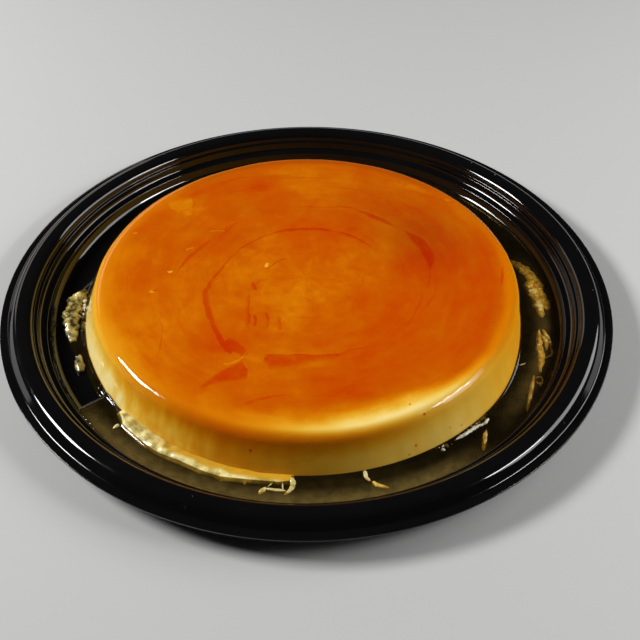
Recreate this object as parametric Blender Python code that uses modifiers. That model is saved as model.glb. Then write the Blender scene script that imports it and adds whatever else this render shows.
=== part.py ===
"""Creme caramel flan on its round black serving tray, with the caramel it stands in.

Metres, +Z up. The origin is the centre of the tray's underside, and the front of the dish,
where the caramel has pooled, faces -Y. Run it with: blender --background --python part.py
"""
import math

import bmesh
import bpy
from mathutils import Matrix, Vector

# ---------------------------------------------------------------- driving dimensions
MM = 0.001
GAP = 0.3 * MM                    # clearance between pieces that touch on the real dish
TURN_STEPS = 72                   # facets round every turned piece

TRAY_RADIUS = 152.5 * MM
TRAY_WALL = 1.2 * MM
TRAY_FLOOR_RADIUS = 124.9 * MM    # flat part of the floor, up to the foot of the wall
CROWN_HEIGHT = 17.2 * MM
CROWN_INNER_RADIUS = 140.2 * MM
CROWN_OUTER_RADIUS = 144.6 * MM
LIP_HEIGHT = 12.6 * MM
LIP_WIDTH = 3.0 * MM
# The stepped wall, from its foot to the crown: distance from the axis and height, in mm.
WALL_STEPS = [(127.4, 2.0), (129.0, 4.2), (129.9, 6.8), (130.6, 7.9), (133.6, 8.5),
              (134.4, 12.4), (136.1, 13.0), (137.0, 15.2), (138.4, 16.6)]

FLAN_BASE_RADIUS = 113.0 * MM
FLAN_TOP_HEIGHT = 22.2 * MM
FLAN_EDGE_RADIUS = 7.0 * MM       # rounding between the top and the side
FLAN_EDGE_CENTRE = 101.0 * MM     # how far from the axis that rounding is centred
FLAN_FOOT_RADIUS = 1.6 * MM
FLAN_SAG = 0.5 * MM               # the top sinks this much towards its middle

SYRUP_LEVEL = 3.1 * MM
SYRUP_OUTER_RADIUS = 125.3 * MM
SYRUP_START = math.radians(-147)  # the pool lies along the front, from the left end
SYRUP_END = math.radians(62)      # to the right end, behind the flan
SYRUP_STEP = math.radians(2.5)
SYRUP_END_ROUNDING = 4.5 * MM

SKIRT_START = math.radians(-141)  # the torn edge of custard along the front left
SKIRT_END = math.radians(-96)
SKIRT_RADIUS = 116.6 * MM
SKIRT_THICKNESS = 2.5 * MM        # radius of the roll at its thick end
SKIRT_THIN = 0.62                 # share of that radius left at its thin end
SKIRT_POINTS = 37
SKIRT_SIDES = 2                   # bevel resolution: 8 sides

FLOOR_TOP = TRAY_WALL
CONTENTS_BASE = FLOOR_TOP + GAP

CUSTARD = (0.76, 0.55, 0.14, 1.0)
CARAMEL_CUSTARD = (0.58, 0.17, 0.012, 1.0)
BLACK_PLASTIC = (0.012, 0.012, 0.013, 1.0)
SYRUP_BROWN = (0.075, 0.045, 0.015, 1.0)


# ---------------------------------------------------------------- helpers
def clear_scene():
    for old in list(bpy.data.objects):
        bpy.data.objects.remove(old, do_unlink=True)


def new_collection(name):
    collection = bpy.data.collections.new(name)
    bpy.context.scene.collection.children.link(collection)
    return collection


def material(name, colour, roughness, coat=0.0):
    """A Principled material with one colour."""
    mat = bpy.data.materials.new(name)
    mat.use_nodes = True
    shader = mat.node_tree.nodes["Principled BSDF"]
    shader.inputs["Base Color"].default_value = colour
    shader.inputs["Roughness"].default_value = roughness
    shader.inputs["Metallic"].default_value = 0.0
    shader.inputs["Coat Weight"].default_value = coat
    mat.diffuse_color = colour
    return mat


def add_object(collection, name, data, mat):
    obj = bpy.data.objects.new(name, data)
    obj.data.materials.append(mat)
    collection.objects.link(obj)
    return obj


def arc(centre, radius, start, end, count):
    """Points (distance, height) on a round stretch, angles in degrees from the outward level."""
    points = []
    for i in range(count):
        angle = math.radians(start + (end - start) * i / (count - 1))
        points.append((centre[0] + radius * math.cos(angle), centre[1] + radius * math.sin(angle)))
    return points


def polar(radius, angle, height=0.0):
    return Vector((radius * math.cos(angle), radius * math.sin(angle), height))


def turned(collection, name, profile, mat):
    """A profile of (distance from the axis, height) points, turned about Z."""
    mesh = bpy.data.meshes.new(name)
    edges = [(i, i + 1) for i in range(len(profile) - 1)]
    mesh.from_pydata([(r, 0.0, z) for r, z in profile], edges, [])
    obj = add_object(collection, name, mesh, mat)
    screw = obj.modifiers.new("Turn", 'SCREW')
    screw.axis = 'Z'
    screw.steps = TURN_STEPS
    screw.render_steps = TURN_STEPS
    screw.use_merge_vertices = True
    screw.merge_threshold = 0.00001
    screw.use_smooth_shade = True
    return obj


# ---------------------------------------------------------------- the tray
def tray_profile():
    """The tray's upper face, from its centre out: floor, stepped wall, crown, lip."""
    steps = [(radius * MM, height * MM) for radius, height in WALL_STEPS]
    lip_inner = TRAY_RADIUS - LIP_WIDTH
    return [
        (0.0, FLOOR_TOP),
        (0.5 * TRAY_FLOOR_RADIUS, FLOOR_TOP),
        (TRAY_FLOOR_RADIUS, FLOOR_TOP),
        *steps,
        (CROWN_INNER_RADIUS, CROWN_HEIGHT),
        (CROWN_OUTER_RADIUS - 1.0 * MM, CROWN_HEIGHT),
        (CROWN_OUTER_RADIUS + 0.4 * MM, CROWN_HEIGHT - 0.7 * MM),
        (lip_inner - 0.6 * MM, LIP_HEIGHT + 0.5 * MM),
        (lip_inner + 0.5 * MM, LIP_HEIGHT),
        (TRAY_RADIUS, LIP_HEIGHT - 0.5 * MM),
    ]


def make_tray(collection):
    tray = turned(collection, "tray", tray_profile(), material("black_plastic", BLACK_PLASTIC, 0.18))
    wall = tray.modifiers.new("Sheet", 'SOLIDIFY')
    wall.thickness = TRAY_WALL
    wall.offset = -1.0
    wall.use_even_offset = True
    return tray


# ---------------------------------------------------------------- the flan
def flan_profile():
    """Its outer side from the middle of the top, over the rounded edge, to the base."""
    edge_centre = (FLAN_EDGE_CENTRE, FLAN_TOP_HEIGHT - FLAN_EDGE_RADIUS)
    foot_centre = (FLAN_BASE_RADIUS - FLAN_FOOT_RADIUS, CONTENTS_BASE + FLAN_FOOT_RADIUS)
    side_slope = math.degrees(math.atan2(foot_centre[0] - edge_centre[0] - FLAN_EDGE_RADIUS,
                                         edge_centre[1] - foot_centre[1]))
    return [
        (0.0, FLAN_TOP_HEIGHT - FLAN_SAG),
        (0.5 * FLAN_EDGE_CENTRE, FLAN_TOP_HEIGHT - 0.8 * FLAN_SAG),
        (0.8 * FLAN_EDGE_CENTRE, FLAN_TOP_HEIGHT - 0.2 * FLAN_SAG),
        *arc(edge_centre, FLAN_EDGE_RADIUS, 90.0, side_slope, 6),
        *arc(foot_centre, FLAN_FOOT_RADIUS, side_slope, -60.0, 4),
        (FLAN_BASE_RADIUS - FLAN_FOOT_RADIUS, CONTENTS_BASE),
        (0.0, CONTENTS_BASE),
    ]


def make_flan(collection):
    return turned(collection, "flan", flan_profile(), material("caramel_custard", CARAMEL_CUSTARD, 0.2, 1.0))


# ---------------------------------------------------------------- the caramel pool
def syrup_inner_radius(angle):
    """The pool's inner edge follows the flan's foot and goes round the torn skirt."""
    by_flan = FLAN_BASE_RADIUS + 0.5 * MM
    by_skirt = SKIRT_RADIUS + 1.32 * SKIRT_THICKNESS + GAP
    margin = math.radians(3.5)
    inside = min(angle - (SKIRT_START - margin), (SKIRT_END + margin) - angle) / margin
    share = max(0.0, min(1.0, inside + 0.5))
    return by_flan + (by_skirt - by_flan) * share * share * (3.0 - 2.0 * share)


def syrup_outer_radius(angle):
    """The outer edge follows the wall, and draws in to a rounded end at both tips."""
    from_tip = min(angle - SYRUP_START, SYRUP_END - angle) * SYRUP_OUTER_RADIUS
    reach = min(1.0, from_tip / SYRUP_END_ROUNDING)
    return SYRUP_OUTER_RADIUS - SYRUP_END_ROUNDING * (1.0 - math.sqrt(1.0 - (1.0 - reach) ** 2))


def make_syrup(collection):
    count = round((SYRUP_END - SYRUP_START) / SYRUP_STEP)
    tips = [0.003, 0.012, 0.025]
    inner_steps = [i * SYRUP_STEP for i in range(count)]
    outer_angles = sorted([SYRUP_START + s for s in tips + inner_steps]
                          + [SYRUP_END - s for s in tips] + [SYRUP_END])
    inner_angles = [SYRUP_START + s for s in inner_steps] + [SYRUP_END]
    outline = [polar(syrup_outer_radius(a), a) for a in outer_angles]
    outline += [polar(syrup_inner_radius(a), a) for a in reversed(inner_angles)]

    curve = bpy.data.curves.new("syrup", 'CURVE')
    curve.dimensions = '2D'
    curve.fill_mode = 'BOTH'
    curve.extrude = 0.5 * (SYRUP_LEVEL - CONTENTS_BASE)
    edge = curve.splines.new('POLY')
    edge.points.add(len(outline) - 1)
    for point, place in zip(edge.points, outline):
        point.co = (place.x, place.y, 0.0, 1.0)
    edge.use_cyclic_u = True
    syrup = add_object(collection, "syrup", curve, material("caramel_syrup", SYRUP_BROWN, 0.05))
    syrup.location.z = 0.5 * (SYRUP_LEVEL + CONTENTS_BASE)
    return syrup


# ---------------------------------------------------------------- loose custard
def skirt_swell(share):
    """How thick the torn roll is along its length: lumpy, thinning towards the right end."""
    taper = 1.0 + (SKIRT_THIN - 1.0) * share
    return taper * (1.0 + 0.13 * math.sin(31.0 * share) + 0.10 * math.sin(73.0 * share + 1.0))


def make_skirt(collection, mat):
    """A lumpy roll of custard that has slid off the side and lies along the foot."""
    curve = bpy.data.curves.new("curd_skirt", 'CURVE')
    curve.dimensions = '3D'
    curve.bevel_depth = SKIRT_THICKNESS
    curve.bevel_resolution = SKIRT_SIDES
    curve.use_fill_caps = True
    path = curve.splines.new('POLY')
    path.points.add(SKIRT_POINTS - 1)
    for i, point in enumerate(path.points):
        share = i / (SKIRT_POINTS - 1)
        angle = SKIRT_START + (SKIRT_END - SKIRT_START) * share
        swell = skirt_swell(share)
        place = polar(SKIRT_RADIUS, angle, CONTENTS_BASE + SKIRT_THICKNESS * swell)
        point.co = (*place, 1.0)
        point.radius = swell
    return add_object(collection, "curd_skirt", curve, mat)


def make_lump(collection, name, mat, radius, angle, half_size, height, lobes):
    """A squashed, lobed lump on the floor: half_size is (across, along) the tray's rim."""
    mesh = bpy.data.meshes.new(name)
    shape = bmesh.new()
    bmesh.ops.create_uvsphere(shape, u_segments=20, v_segments=12, radius=1.0)
    for vert in shape.verts:
        round_angle = math.atan2(vert.co.y, vert.co.x)
        swell = 1.0 + 0.09 * math.sin(lobes * round_angle) + 0.07 * math.sin(3.0 * vert.co.y + 5.0 * vert.co.x)
        lift = max(0.0, vert.co.z + 0.35) / 1.35
        vert.co = Vector((vert.co.x * half_size[0] * swell, vert.co.y * half_size[1] * swell,
                          lift * height * swell))
    bmesh.ops.remove_doubles(shape, verts=shape.verts, dist=0.00001)
    shape.to_mesh(mesh)
    shape.free()
    lump = add_object(collection, name, mesh, mat)
    lump.matrix_world = Matrix.Translation(polar(radius, angle, CONTENTS_BASE)) @ Matrix.Rotation(angle, 4, 'Z')
    for polygon in mesh.polygons:
        polygon.use_smooth = True
    return lump


# ---------------------------------------------------------------- the whole dish
def main():
    clear_scene()
    dish = new_collection("creme_caramel_flan")
    make_tray(dish)
    make_flan(dish)
    make_syrup(dish)
    curd = material("custard", CUSTARD, 0.35, 0.5)
    make_skirt(dish, curd)
    make_lump(dish, "curd_left", curd, 118.8 * MM, math.radians(183.5), (4.6 * MM, 14.5 * MM), 5.2 * MM, 5)
    make_lump(dish, "curd_left_small", curd, 117.9 * MM, math.radians(199.8), (2.5 * MM, 5.6 * MM), 3.2 * MM, 3)


main()
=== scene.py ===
# %% [markdown]
# # Creme caramel flan on its serving tray
#
# A flan is a custard baked over melted sugar in a tin, then turned out, so the syrup that was
# underneath ends up on top and runs down the side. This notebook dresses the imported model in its
# real surfaces. Every new piece is a skin worked out with numpy: rings of points, joined to each
# other and closed at both ends. Lengths are written in millimetres and scaled once, on the way
# into the mesh. Seen from above, azimuth 0 is to the right and -90 is the front of the dish.

# %% Load the frame
import math

import bpy
import numpy as np
from mathutils import Matrix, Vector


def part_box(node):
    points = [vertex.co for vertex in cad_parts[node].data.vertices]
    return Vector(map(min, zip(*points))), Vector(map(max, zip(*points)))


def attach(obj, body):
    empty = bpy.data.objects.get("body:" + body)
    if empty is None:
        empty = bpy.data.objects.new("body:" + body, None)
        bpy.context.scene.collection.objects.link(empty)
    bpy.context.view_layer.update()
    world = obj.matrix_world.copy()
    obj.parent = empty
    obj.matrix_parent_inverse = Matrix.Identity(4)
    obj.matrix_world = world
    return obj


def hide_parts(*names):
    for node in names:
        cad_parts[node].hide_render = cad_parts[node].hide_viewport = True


MM = 0.001
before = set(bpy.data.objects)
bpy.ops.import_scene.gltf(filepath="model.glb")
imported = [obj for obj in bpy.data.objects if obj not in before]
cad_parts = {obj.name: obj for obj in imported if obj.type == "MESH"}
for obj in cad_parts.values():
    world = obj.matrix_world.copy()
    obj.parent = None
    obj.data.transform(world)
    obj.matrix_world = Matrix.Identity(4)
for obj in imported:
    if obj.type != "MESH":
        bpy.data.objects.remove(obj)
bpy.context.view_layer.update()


def millimetres(node):
    """The lowest and the highest corner of a node, as two arrays in millimetres."""
    low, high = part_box(node)
    return np.array(low) / MM, np.array(high) / MM


TRAY_RADIUS = millimetres("tray")[1][0]
CROWN_HEIGHT = millimetres("tray")[1][2]
FLAN_RADIUS = millimetres("flan")[1][0]
FLAN_TOP = millimetres("flan")[1][2]
SYRUP_LEVEL = millimetres("syrup")[1][2]
print(f"tray {TRAY_RADIUS:.1f} mm, crown {CROWN_HEIGHT:.1f}, flan {FLAN_RADIUS:.1f}, top {FLAN_TOP:.1f}")

# %% [markdown]
# ## Making skins
#
# Nearly everything on this dish is round or long, so one builder is enough: `skin` takes an
# array of rings, joins each ring to the next with four-sided faces and closes both ends with a
# fan round a middle point. Going from ring to ring and then round a ring has to turn the same
# way on every piece, so that the faces point outwards.


# %% Skins from rings of points
def skin(name, rings, material, hoop=False):
    """A closed mesh from rings of points, in millimetres.

    rings has the shape (rings, points in a ring, 3), or (copies, rings, points in a ring, 3) for
    many alike in one piece. Point j of ring i is joined to point j + 1 and to point j of ring
    i + 1. The middle of the first and of the last ring becomes a pole, joined to its ring by
    triangles, but in a hoop the last ring is joined to the first.
    """
    rings = rings.reshape(-1, *rings.shape[-3:])
    copies, count, around = rings.shape[:3]
    step = np.arange(around)
    after = (step + 1) % around
    ring = np.arange(count if hoop else count - 1)[:, None]
    here, there = ring * around, (ring + 1) % count * around
    faces = [np.stack([here + step, there + step, there + after, here + after], axis=-1).reshape(-1, 4)]
    points = rings.reshape(copies, -1, 3)
    if not hoop:
        poles = np.stack([rings[:, 0].mean(axis=1), rings[:, -1].mean(axis=1)], axis=1)
        points = np.concatenate([points, poles], axis=1)
        last, first_pole, last_pole = (count - 1) * around, count * around, count * around + 1
        faces.append(np.stack([np.full(around, first_pole), step, after], axis=-1))
        faces.append(np.stack([last + step, np.full(around, last_pole), last + after], axis=-1))
    shift = (np.arange(copies) * points.shape[1])[:, None, None]
    faces = [(each + shift).reshape(-1, each.shape[-1]) for each in faces]
    corners = np.concatenate([each.ravel() for each in faces]).astype(np.int32)
    sizes = np.concatenate([np.full(len(each), each.shape[-1]) for each in faces])
    mesh = bpy.data.meshes.new(name)
    mesh.vertices.add(points.size // 3)
    mesh.vertices.foreach_set("co", (points * MM).ravel())
    mesh.loops.add(len(corners))
    mesh.loops.foreach_set("vertex_index", corners)
    mesh.polygons.add(len(sizes))
    mesh.polygons.foreach_set("loop_start", (np.cumsum(sizes) - sizes).astype(np.int32))
    mesh.polygons.foreach_set("use_smooth", np.full(len(sizes), True))
    mesh.update(calc_edges=True)
    mesh.materials.append(material)
    piece = bpy.data.objects.new(name, mesh)
    bpy.context.scene.collection.objects.link(piece)
    print(f"{name}: {len(sizes)} faces")
    return piece


def paint(piece, name, values):
    """Stores one number for each point of a piece, for its material to read by name."""
    with_poles = np.concatenate([values.ravel(), [values[0].mean(), values[-1].mean()]])
    layer = piece.data.attributes.new(name, 'FLOAT', 'POINT')
    layer.data.foreach_set("value", with_poles[:len(piece.data.vertices)].astype(np.float32))


def polar(radius, azimuth, height):
    """Points at a distance from the dish's axis, an azimuth in degrees and a height."""
    turn = np.radians(azimuth)
    radius, turn, height = np.broadcast_arrays(radius, turn, height)
    return np.stack([radius * np.cos(turn), radius * np.sin(turn), height], axis=-1)


# %% Lumpiness and soft steps
def lumps(places, size, seed):
    """Smooth random heights from -1 to 1 over an array of places.

    A lattice with a random value at each corner, corners `size` apart, blended across each cell
    with the soft step 3t^2 - 2t^3 along each axis.
    """
    table = np.random.default_rng(seed).uniform(-1.0, 1.0, (24, 24, 24))
    scaled = places / size
    cell = np.floor(scaled).astype(int)
    part = scaled - cell
    part = part * part * (3.0 - 2.0 * part)
    total = np.zeros(places.shape[:-1])
    for corner in np.ndindex(2, 2, 2):
        near = np.where(corner, part, 1.0 - part).prod(axis=-1)
        index = (cell + corner) % 24
        total += near * table[index[..., 0], index[..., 1], index[..., 2]]
    return total


def soft_step(low, high, values):
    """0 below low, 1 above high, and 3t^2 - 2t^3 between them."""
    t = np.clip((values - low) / (high - low), 0.0, 1.0)
    return t * t * (3.0 - 2.0 * t)


def around_azimuth(azimuth, middle):
    """How many degrees an azimuth is from the middle, from -180 to 180."""
    return (azimuth - middle + 180.0) % 360.0 - 180.0


def window(azimuth, start, end, fade):
    """1 between two azimuths and 0 outside, with soft ends."""
    middle, half = 0.5 * (start + end), 0.5 * (end - start)
    return 1.0 - soft_step(half - fade, half + fade, np.abs(around_azimuth(azimuth, middle)))


# %% [markdown]
# ## Materials
#
# A material here is a short list of nodes. `put` adds one node, sets it up and joins its inputs,
# so each material below reads from top to bottom like a recipe.


# %% A short way to write node trees
def put(tree, kind, inputs=None, **settings):
    """Adds a node. An input may be a number, a colour or the output of another node."""
    node = tree.nodes.new("ShaderNode" + kind)
    for key, value in settings.items():
        setattr(node, key, value)
    for key, value in (inputs or {}).items():
        if isinstance(value, bpy.types.NodeSocket):
            tree.links.new(value, node.inputs[key])
        else:
            node.inputs[key].default_value = value
    return node


def calc(tree, operation, first, second=0.0, clamp=False):
    """The result of one sum on one or two numbers."""
    return put(tree, "Math", {0: first, 1: second}, operation=operation, use_clamp=clamp).outputs[0]


def spread(tree, value, low, high, new_low=0.0, new_high=1.0, smooth=False):
    """Stretches a range of values to a new one, and holds it at the ends."""
    kind = 'SMOOTHSTEP' if smooth else 'LINEAR'
    inputs = {"Value": value, "From Min": low, "From Max": high, "To Min": new_low, "To Max": new_high}
    return put(tree, "MapRange", inputs, interpolation_type=kind).outputs["Result"]


def cloud(tree, place, scale, detail=3.0, roughness=0.55, stretch=(1.0, 1.0, 1.0)):
    """Soft noise around 0.5, at a scale in cycles a metre."""
    stretched = put(tree, "Mapping", {"Vector": place, "Scale": stretch}).outputs[0]
    inputs = {"Vector": stretched, "Scale": scale, "Detail": detail, "Roughness": roughness}
    return put(tree, "TexNoise", inputs).outputs[0]


def new_material(name, shown_colour):
    """A material with an empty tree, its Principled shader and its output."""
    material = bpy.data.materials.new(name)
    material.use_nodes = True
    material.diffuse_color = (*shown_colour, 1.0)
    tree = material.node_tree
    tree.nodes.clear()
    shader = put(tree, "BsdfPrincipled")
    output = put(tree, "OutputMaterial", {"Surface": shader.outputs[0]})
    return material, tree, shader, output


def object_place(tree):
    return put(tree, "TexCoord").outputs["Object"]


# %% [markdown]
# ### Black tray plastic
#
# Thermoformed black plastic is almost perfectly glossy. What gives it away as plastic is that the
# gloss is uneven: fingers and steam leave dull smears, and fine scratches catch the light.


# %% Tray material
def make_black_plastic():
    material, tree, shader, _ = new_material("black_tray_plastic", (0.01, 0.01, 0.011))
    place = object_place(tree)
    smears = cloud(tree, place, 28.0, detail=4.0)
    specks = cloud(tree, place, 900.0, detail=2.0)
    haze = calc(tree, 'MULTIPLY', spread(tree, smears, 0.5, 0.75), 0.10)
    dull = calc(tree, 'ADD', haze, spread(tree, specks, 0.5, 0.8, 0.06, 0.10))
    tree.links.new(dull, shader.inputs["Roughness"])
    tint = put(tree, "ValToRGB", {"Fac": smears})
    tint.color_ramp.elements[0].color = (0.0018, 0.0018, 0.0022, 1.0)
    tint.color_ramp.elements[1].color = (0.0042, 0.0040, 0.0040, 1.0)
    tree.links.new(tint.outputs["Color"], shader.inputs["Base Color"])
    wave = cloud(tree, place, 120.0, detail=2.0)
    bump = put(tree, "Bump", {"Height": wave, "Strength": 0.05, "Distance": 0.0004})
    tree.links.new(bump.outputs["Normal"], shader.inputs["Normal"])
    shader.inputs["IOR"].default_value = 1.5
    return material


black_plastic = make_black_plastic()

# %% [markdown]
# ### Caramel over custard
#
# Caramel is a dye in a clear jelly: the deeper it is, the more green and blue it swallows, so the
# same custard goes from cream through yellow, orange and amber to red-orange. That is Beer's law,
# colour = custard x exp(-absorption x depth), except that red hardly falls past the usual depth,
# and one ramp holds it for every depth.

# %% Caramel ramp
CUSTARD = np.array([0.87, 0.69, 0.27])
ABSORBED = np.array([0.50, 1.93, 7.5])
RED_PAST_USUAL = 0.14
DEEPEST = 2.2
RAMP_STOPS = 23


def caramel_ramp(tree, depth):
    """The colour of custard under a depth of caramel, where 1 is the usual depth on top."""
    ramp = put(tree, "ValToRGB", {"Fac": calc(tree, 'DIVIDE', depth, DEEPEST)})
    stops = ramp.color_ramp.elements
    for i in range(RAMP_STOPS):
        share = i / (RAMP_STOPS - 1)
        stop = stops.new(share) if 0 < i < RAMP_STOPS - 1 else stops[-1 if i else 0]
        swallowed = ABSORBED * share * DEEPEST
        swallowed[0] -= (ABSORBED[0] - RED_PAST_USUAL) * max(share * DEEPEST - 1.0, 0.0)
        stop.color = (*(CUSTARD * np.exp(-swallowed)), 1.0)
    return ramp.outputs["Color"]


# %% [markdown]
# ### Strokes of darker caramel
#
# Where the sugar set in ridges in the tin, it left thin red-brown strokes in the top. Each one is
# a stretch of a circle. A node group works out how deep in the stroke a point lies, so the same
# group serves every stroke, sharp at any distance.


# %% Stroke group
def make_stroke_group():
    """Mask of one stroke: 1 inside it, 0 outside, softened at its edges.

    With d the point minus the circle's centre, t is d's angle from the middle of the stroke, as a
    share of half its sweep. The half width there is w = half width x min(1, taper (1 - |t|)) x
    max(0.1, 1 + lean t). With a how far d lies outside the circle, the mask is a soft step of w - a, over the outer softness,
    times a soft step of w + a, over the inner softness.
    """
    tree = bpy.data.node_groups.new("caramel_stroke", 'ShaderNodeTree')
    for name, kind in (("Place", 'NodeSocketVector'), ("Centre", 'NodeSocketVector'),
                       ("Middle", 'NodeSocketVector'), ("Across", 'NodeSocketVector'),
                       ("Radius", 'NodeSocketFloat'), ("Half sweep", 'NodeSocketFloat'),
                       ("Half width", 'NodeSocketFloat'), ("Taper", 'NodeSocketFloat'),
                       ("Lean", 'NodeSocketFloat'),
                       ("Outer softness", 'NodeSocketFloat'), ("Inner softness", 'NodeSocketFloat')):
        tree.interface.new_socket(name, in_out='INPUT', socket_type=kind)
    tree.interface.new_socket("Mask", in_out='OUTPUT', socket_type='NodeSocketFloat')
    given = tree.nodes.new('NodeGroupInput').outputs
    offset = put(tree, "VectorMath", {0: given["Place"], 1: given["Centre"]}, operation='SUBTRACT').outputs[0]
    forward = put(tree, "VectorMath", {0: offset, 1: given["Middle"]}, operation='DOT_PRODUCT').outputs["Value"]
    sideways = put(tree, "VectorMath", {0: offset, 1: given["Across"]}, operation='DOT_PRODUCT').outputs["Value"]
    share = calc(tree, 'DIVIDE', calc(tree, 'ARCTAN2', sideways, forward), given["Half sweep"])
    ends = calc(tree, 'MULTIPLY', calc(tree, 'SUBTRACT', 1.0, calc(tree, 'ABSOLUTE', share)), given["Taper"])
    leaning = calc(tree, 'MAXIMUM', calc(tree, 'ADD', calc(tree, 'MULTIPLY', share, given["Lean"]), 1.0), 0.1)
    width = calc(tree, 'MULTIPLY', given["Half width"], calc(tree, 'MINIMUM', ends, 1.0))
    width = calc(tree, 'MULTIPLY', width, leaning)
    distance = put(tree, "VectorMath", {0: offset}, operation='LENGTH').outputs["Value"]
    outside = calc(tree, 'SUBTRACT', distance, given["Radius"])
    masks = []
    for reach, softness in ((calc(tree, 'SUBTRACT', width, outside), given["Outer softness"]),
                            (calc(tree, 'ADD', width, outside), given["Inner softness"])):
        low = calc(tree, 'MULTIPLY', softness, -0.3)
        masks.append(spread(tree, reach, low, softness, smooth=True))
    result = tree.nodes.new('NodeGroupOutput')
    tree.links.new(calc(tree, 'MULTIPLY', *masks), result.inputs["Mask"])
    return tree


stroke_group = make_stroke_group()


def stroke(tree, place, start, end, bow, half_width, outer_softness, inner_softness, taper, lean):
    """One stroke from start to end, in millimetres, bowing to the left of that direction.

    The circle through both ends and the bowed middle has the radius (c^2 + b^2) / 2b, with c half
    the distance between the ends and b the bow.
    """
    start, end = np.array(start, float), np.array(end, float)
    half = 0.5 * np.linalg.norm(end - start)
    along = (end - start) / (2.0 * half)
    left = np.array([-along[1], along[0]])
    middle = math.copysign(1.0, bow) * left
    radius = (half ** 2 + bow ** 2) / (2.0 * abs(bow))
    centre = 0.5 * (start + end) + middle * (abs(bow) - radius)
    sweep = math.atan2(half, radius - abs(bow))
    group = tree.nodes.new('ShaderNodeGroup')
    group.node_tree = stroke_group
    tree.links.new(place, group.inputs["Place"])
    for name, value in (("Centre", (*centre, 0.0)), ("Middle", (*middle, 0.0)), ("Across", (*along, 0.0)),
                        ("Radius", radius), ("Half sweep", sweep), ("Half width", half_width),
                        ("Taper", taper), ("Lean", lean), ("Outer softness", outer_softness),
                        ("Inner softness", inner_softness)):
        group.inputs[name].default_value = value
    return group.outputs["Mask"]


# %% [markdown]
# ### The flan's own finish
#
# Two things set the colour: a soft depth of caramel, stored on the mesh, and the strokes and
# clouds that the shader adds. Custard lets light in a few millimetres, so it is a subsurface
# material, and the wet film on it is a clear coat.

# %% Strokes in the top
# In millimetres: start, end, bow, half width, depth added, softness outside and inside the bow,
# and for some the lean, which widens the stroke towards its end.
FINE_STROKES = [
    ((37.4, 16), (11.9, 37.4), -4.2, 0.8, 0.46, 0.4, 0.8, 0.5),
    ((24, 56.8), (51, 36.5), 1.4, 1.6, 0.46, 0.4, 0.8),
    ((50, 38), (62.6, 2), 5.4, 3.4, 0.56, 0.6, 1.6),
    ((62.6, 6), (58.8, -12.3), 0.8, 0.8, 0.22, 0.5, 0.8),
    ((66, 2), (52, -32), 3.0, 0.7, 0.18, 0.5, 0.8),
    ((59, -10), (44, -41), 2.0, 0.7, 0.17, 0.5, 0.8),
    ((12, 18), (-10, 15.4), -2.0, 0.6, 0.18, 0.5, 0.8),
    ((-12.3, -29.2), (10.4, -31.1), -0.6, 0.5, 0.34, 0.4, 1.6),
    ((-65.7, -0.1), (-46.6, 33.2), 2.6, 1.3, 0.34, 0.5, 1.0),
    ((-46, 33.5), (-33, 49), -1.0, 0.6, 0.24, 0.5, 0.8),
    ((-71.9, -22.8), (-70.5, -64.4), 2.7, 0.6, 0.28, 0.4, 1.0),
    ((-34, -90.7), (-5.7, -81.9), 2.6, 0.9, 0.28, 0.5, 1.0),
    ((-6, -81.9), (20, -84), 1.0, 0.7, 0.14, 0.6, 1.0),
    ((14, -55.4), (31, -49.2), -0.8, 0.7, 0.30, 0.4, 0.8),
    ((-60, 74), (-16, 88), 3.0, 0.9, 0.20, 0.7, 1.2),
    ((-22, 84), (32, 80), 2.5, 0.7, 0.20, 0.5, 1.0),
    ((-12, 76), (48, 66), 4.0, 0.7, 0.18, 0.5, 1.0),
    ((-46, 70), (-8, 78), 2.0, 0.8, 0.22, 0.5, 1.0),
    ((100, 8), (97.4, -10), 0.5, 0.9, 0.70, 0.4, 0.6),
    ((-77.5, -10.6), (-72.8, -9.2), 0.4, 0.7, 0.55, 0.4, 0.6),
    ((77.6, 62.6), (80.8, 58.2), 0.4, 0.8, 0.65, 0.4, 0.6),
]
BROAD_STROKES = [
    ((16, 36.4), (-16, 35.6), -2.9, 1.2, 0.48, 0.4, 0.8),
    ((-9, 37.4), (-37, 17.4), -4.0, 0.7, 0.38, 0.4, 0.7),
    ((-34, 21.4), (-49.2, -12), -2.2, 0.9, 0.40, 0.5, 1.0, 0.4),
    ((-49.0, -6), (-43.2, -36), -2.4, 1.5, 0.46, 0.5, 1.2),
    ((-45.8, -29), (-35, -55), -1.1, 1.8, 0.48, 0.5, 1.0, 0.3),
    ((-5, 57.9), (30, 56.0), 0.9, 0.6, 0.42, 0.4, 0.6, 0.3),
    ((-8.3, 15.6), (-20.2, 5.0), -1.4, 0.6, 0.40, 0.4, 0.6),
    ((-27, -3.5), (-25.4, -10.5), 0.5, 1.3, 0.38, 0.6, 1.0),
    ((-22.4, -1.5), (-27.4, -8.0), 0.6, 0.7, 0.36, 0.5, 0.8),
    ((-29.3, -12), (-28.4, -37.5), 0.5, 1.1, 0.42, 0.5, 2.2),
    ((-26, -28), (-24.8, -37), 0.4, 0.9, 0.42, 0.5, 0.9),
    ((-20, -26), (-18.8, -38), 0.4, 1.0, 0.42, 0.4, 1.6),
    ((-13.6, -28), (-12.8, -39), 0.4, 1.0, 0.44, 0.4, 2.4),
    ((-21, -55.6), (18, -55.6), -0.6, 0.7, 0.52, 0.4, 0.5),
]
PATCHES = [
    ((-39, -46.8), (-27.6, -56.5), 0.9, 3.2, 0.46, 1.6, 1.8, -0.2),
    ((-48.5, -77), (-26.8, -65), 1.6, 3.6, 0.50, 1.4, 2.4, 0.75),
    ((-21, -60.4), (24, -54.6), -0.8, 3.0, 0.46, 3.6, 0.6, -0.9),
]
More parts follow.
